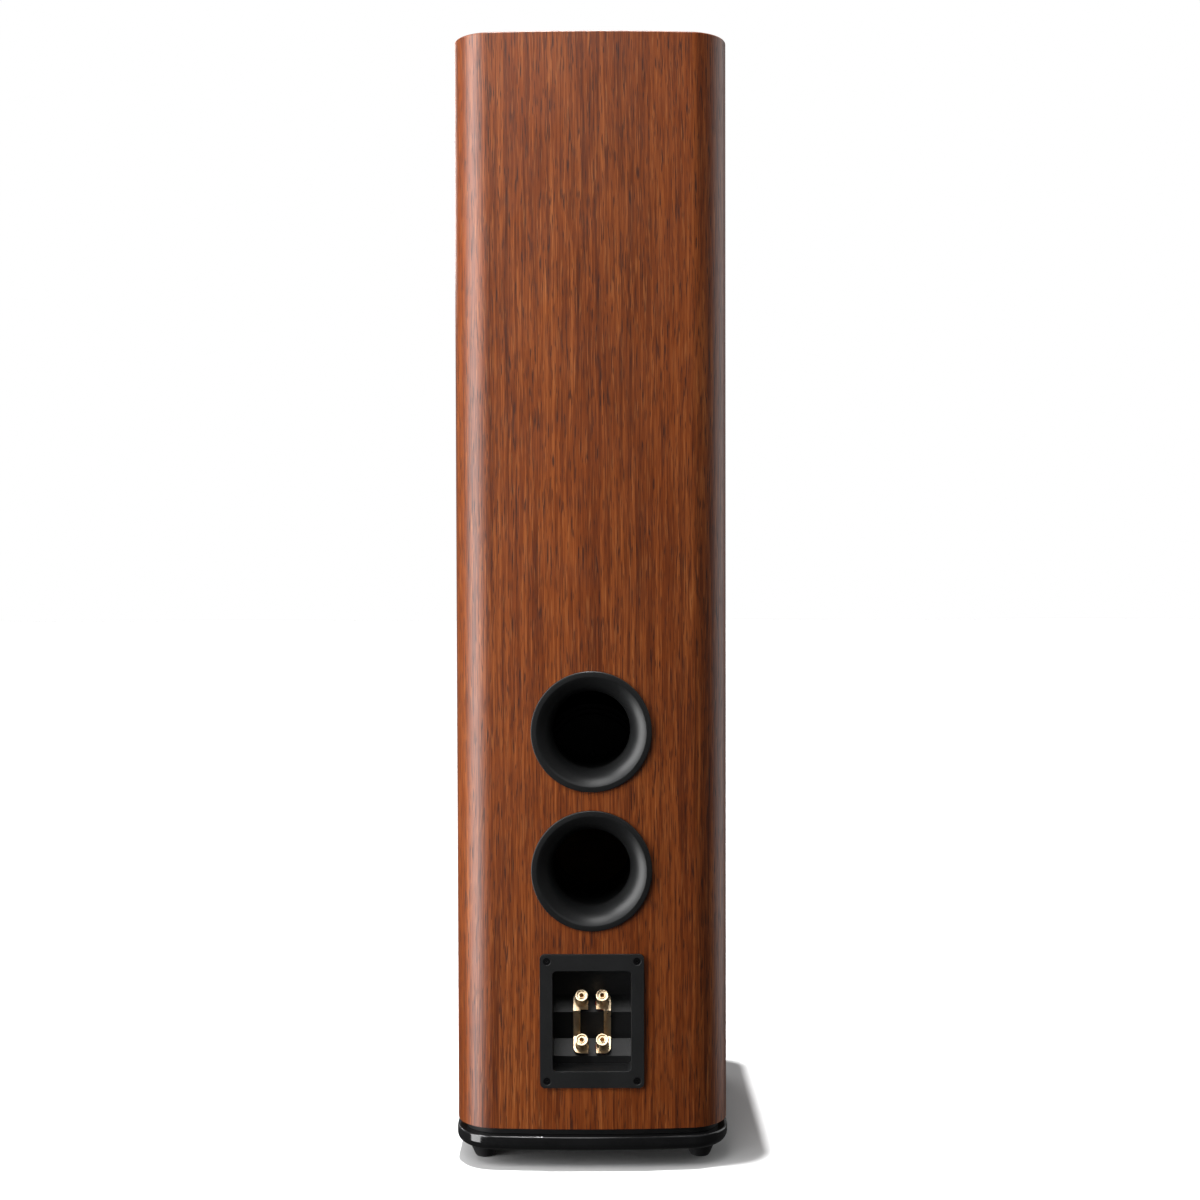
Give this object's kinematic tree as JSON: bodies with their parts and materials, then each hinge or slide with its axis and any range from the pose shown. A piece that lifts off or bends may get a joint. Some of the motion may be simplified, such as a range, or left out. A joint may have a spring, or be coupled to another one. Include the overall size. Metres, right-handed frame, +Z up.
{
  "type": "floorstanding speaker",
  "caption": "Tall veneered floorstanding loudspeaker with rounded rear corners, rear bass ports, a stepped terminal cup with strap jumpers, forward drivers, a gloss plinth and screw feet.",
  "frame": {"origin": "on the floor, under the middle of the cabinet's bounding box", "axes": "+Z up, drivers face -Y, ports and terminals face +Y, +X to the right seen from the front"},
  "size_m": [0.254, 0.33, 1.041],
  "materials": {
    "walnut_veneer": "satin lacquered walnut veneer, straight vertical grain",
    "board_core": "raw fibreboard",
    "felt": "wool-mix damping felt",
    "gloss_black_base": "polished black",
    "matte_black_base": "matt black",
    "foot_finish": "satin black coating",
    "insert_brass": "plain brass",
    "port_black": "fine satin black moulding",
    "terminal_black": "textured black moulding",
    "black_screws": "black coated steel",
    "gold_plate": "polished gold plate",
    "red_insulator": "red moulding",
    "black_insulator": "black moulding",
    "zinc_steel": "zinc plated",
    "cast_frame": "cast and coated black",
    "surround_rubber": "satin rubber",
    "cone_composite": "fine woven composite",
    "copper_wire": "enamelled copper winding",
    "motor_steel": "dark coated steel",
    "spider_cloth": "treated cloth",
    "waveguide_black": "satin black moulding",
    "diaphragm_film": "polymer film",
    "circuit_board": "green circuit board",
    "capacitor_sleeve": "film sleeve",
    "lead_jacket": "soft jacket"
  },
  "bodies": {
    "cabinet": {"veneer_wrap": "walnut_veneer", "left_side_panel": "board_core", "right_side_panel": "board_core", "rear_panel": "board_core", "front_baffle": "board_core", "top_panel": "board_core", "bottom_panel": "board_core", "window_braces": "board_core", "damping_felt": "felt", "plinth": "gloss_black_base", "plinth_neck": "matte_black_base", "foot_inserts": "insert_brass", "upper_port_flare": "port_black", "lower_port_flare": "port_black", "port_tubes": "port_black", "terminal_cup": "terminal_black", "cup_screws": "black_screws", "binding_posts": "gold_plate", "red_collars": "red_insulator", "black_collars": "black_insulator", "rear_post_nuts": "zinc_steel", "upper_woofer_basket": "cast_frame", "middle_woofer_basket": "cast_frame", "lower_woofer_basket": "cast_frame", "upper_woofer_surround": "surround_rubber", "middle_woofer_surround": "surround_rubber", "lower_woofer_surround": "surround_rubber", "woofer_motors": "motor_steel", "woofer_spiders": "spider_cloth", "tweeter_waveguide": "waveguide_black", "tweeter_motor": "motor_steel", "driver_screws": "black_screws", "crossover_board": "circuit_board", "crossover_inductors": "copper_wire", "crossover_capacitors": "capacitor_sleeve", "internal_leads": "lead_jacket"},
    "upper_woofer_moving": {"upper_woofer_cone": "cone_composite", "upper_woofer_voice_coil": "copper_wire"},
    "middle_woofer_moving": {"middle_woofer_cone": "cone_composite", "middle_woofer_voice_coil": "copper_wire"},
    "lower_woofer_moving": {"lower_woofer_cone": "cone_composite", "lower_woofer_voice_coil": "copper_wire"},
    "tweeter_moving": {"tweeter_diaphragm": "diaphragm_film"},
    "washer_upper_red": {"clamp_washer_upper_red": "gold_plate"},
    "nut_upper_red": {"thumb_nut_upper_red": "gold_plate"},
    "washer_upper_black": {"clamp_washer_upper_black": "gold_plate"},
    "nut_upper_black": {"thumb_nut_upper_black": "gold_plate"},
    "washer_lower_red": {"clamp_washer_lower_red": "gold_plate"},
    "nut_lower_red": {"thumb_nut_lower_red": "gold_plate"},
    "washer_lower_black": {"clamp_washer_lower_black": "gold_plate"},
    "nut_lower_black": {"thumb_nut_lower_black": "gold_plate"},
    "jumper_strap_red": {"jumper_red": "gold_plate"},
    "jumper_strap_black": {"jumper_black": "gold_plate"},
    "screw_foot_left_front": {"foot_left_front": "foot_finish"},
    "screw_foot_right_front": {"foot_right_front": "foot_finish"},
    "screw_foot_left_rear": {"foot_left_rear": "foot_finish"},
    "screw_foot_right_rear": {"foot_right_rear": "foot_finish"}
  },
  "joints": [
    {"name": "upper_woofer_stroke", "type": "slide", "parent": "cabinet", "child": "upper_woofer_moving", "axis": [0, -1, 0], "range_m": [-0.006, 0.006], "stiffness_N_per_m": 1250, "deforming": ["upper_woofer_surround", "woofer_spiders"]},
    {"name": "middle_woofer_stroke", "type": "slide", "parent": "cabinet", "child": "middle_woofer_moving", "axis": [0, -1, 0], "range_m": [-0.006, 0.006], "stiffness_N_per_m": 1250, "deforming": ["middle_woofer_surround", "woofer_spiders"]},
    {"name": "lower_woofer_stroke", "type": "slide", "parent": "cabinet", "child": "lower_woofer_moving", "axis": [0, -1, 0], "range_m": [-0.006, 0.006], "stiffness_N_per_m": 1250, "deforming": ["lower_woofer_surround", "woofer_spiders"]},
    {"name": "tweeter_stroke", "type": "slide", "parent": "cabinet", "child": "tweeter_moving", "axis": [0, -1, 0], "range_m": [-0.0003, 0.0003], "stiffness_N_per_m": 1500},
    {"name": "nut_travel_upper_red", "type": "slide", "parent": "cabinet", "child": "washer_upper_red", "axis": [0, 0.809, 0.5878], "range_m": [0, 0.004]},
    {"name": "nut_turn_upper_red", "type": "hinge", "parent": "washer_upper_red", "child": "nut_upper_red", "pos_m": [-0.00953, 0.14569, 0.155], "axis": [0, 0.809, 0.5878], "range_deg": [0, 1441]},
    {"name": "nut_travel_upper_black", "type": "slide", "parent": "cabinet", "child": "washer_upper_black", "axis": [0, 0.809, 0.5878], "range_m": [0, 0.004]},
    {"name": "nut_turn_upper_black", "type": "hinge", "parent": "washer_upper_black", "child": "nut_upper_black", "pos_m": [0.00953, 0.14569, 0.155], "axis": [0, 0.809, 0.5878], "range_deg": [0, 1441]},
    {"name": "nut_travel_lower_red", "type": "slide", "parent": "cabinet", "child": "washer_lower_red", "axis": [0, 0.809, 0.5878], "range_m": [0, 0.004]},
    {"name": "nut_turn_lower_red", "type": "hinge", "parent": "washer_lower_red", "child": "nut_lower_red", "pos_m": [-0.00953, 0.14569, 0.1138], "axis": [0, 0.809, 0.5878], "range_deg": [0, 1441]},
    {"name": "nut_travel_lower_black", "type": "slide", "parent": "cabinet", "child": "washer_lower_black", "axis": [0, 0.809, 0.5878], "range_m": [0, 0.004]},
    {"name": "nut_turn_lower_black", "type": "hinge", "parent": "washer_lower_black", "child": "nut_lower_black", "pos_m": [0.00953, 0.14569, 0.1138], "axis": [0, 0.809, 0.5878], "range_deg": [0, 1441]},
    {"name": "jumper_red_pull", "type": "slide", "parent": "cabinet", "child": "jumper_strap_red", "axis": [-1, 0, 0], "range_m": [0, 0.018]},
    {"name": "jumper_black_pull", "type": "slide", "parent": "cabinet", "child": "jumper_strap_black", "axis": [1, 0, 0], "range_m": [0, 0.018]},
    {"name": "foot_height_left_front", "type": "slide", "parent": "cabinet", "child": "screw_foot_left_front", "axis": [0, 0, -1], "range_m": [0, 0.008]},
    {"name": "foot_height_right_front", "type": "slide", "parent": "cabinet", "child": "screw_foot_right_front", "axis": [0, 0, -1], "range_m": [0, 0.008]},
    {"name": "foot_height_left_rear", "type": "slide", "parent": "cabinet", "child": "screw_foot_left_rear", "axis": [0, 0, -1], "range_m": [0, 0.008]},
    {"name": "foot_height_right_rear", "type": "slide", "parent": "cabinet", "child": "screw_foot_right_rear", "axis": [0, 0, -1], "range_m": [0, 0.008]}
  ],
  "couplings": [
    {"joint": "nut_turn_upper_red", "follows": "nut_travel_upper_red", "rad_per_m": 6283.2},
    {"joint": "nut_turn_upper_black", "follows": "nut_travel_upper_black", "rad_per_m": 6283.2},
    {"joint": "nut_turn_lower_red", "follows": "nut_travel_lower_red", "rad_per_m": 6283.2},
    {"joint": "nut_turn_lower_black", "follows": "nut_travel_lower_black", "rad_per_m": 6283.2}
  ]
}
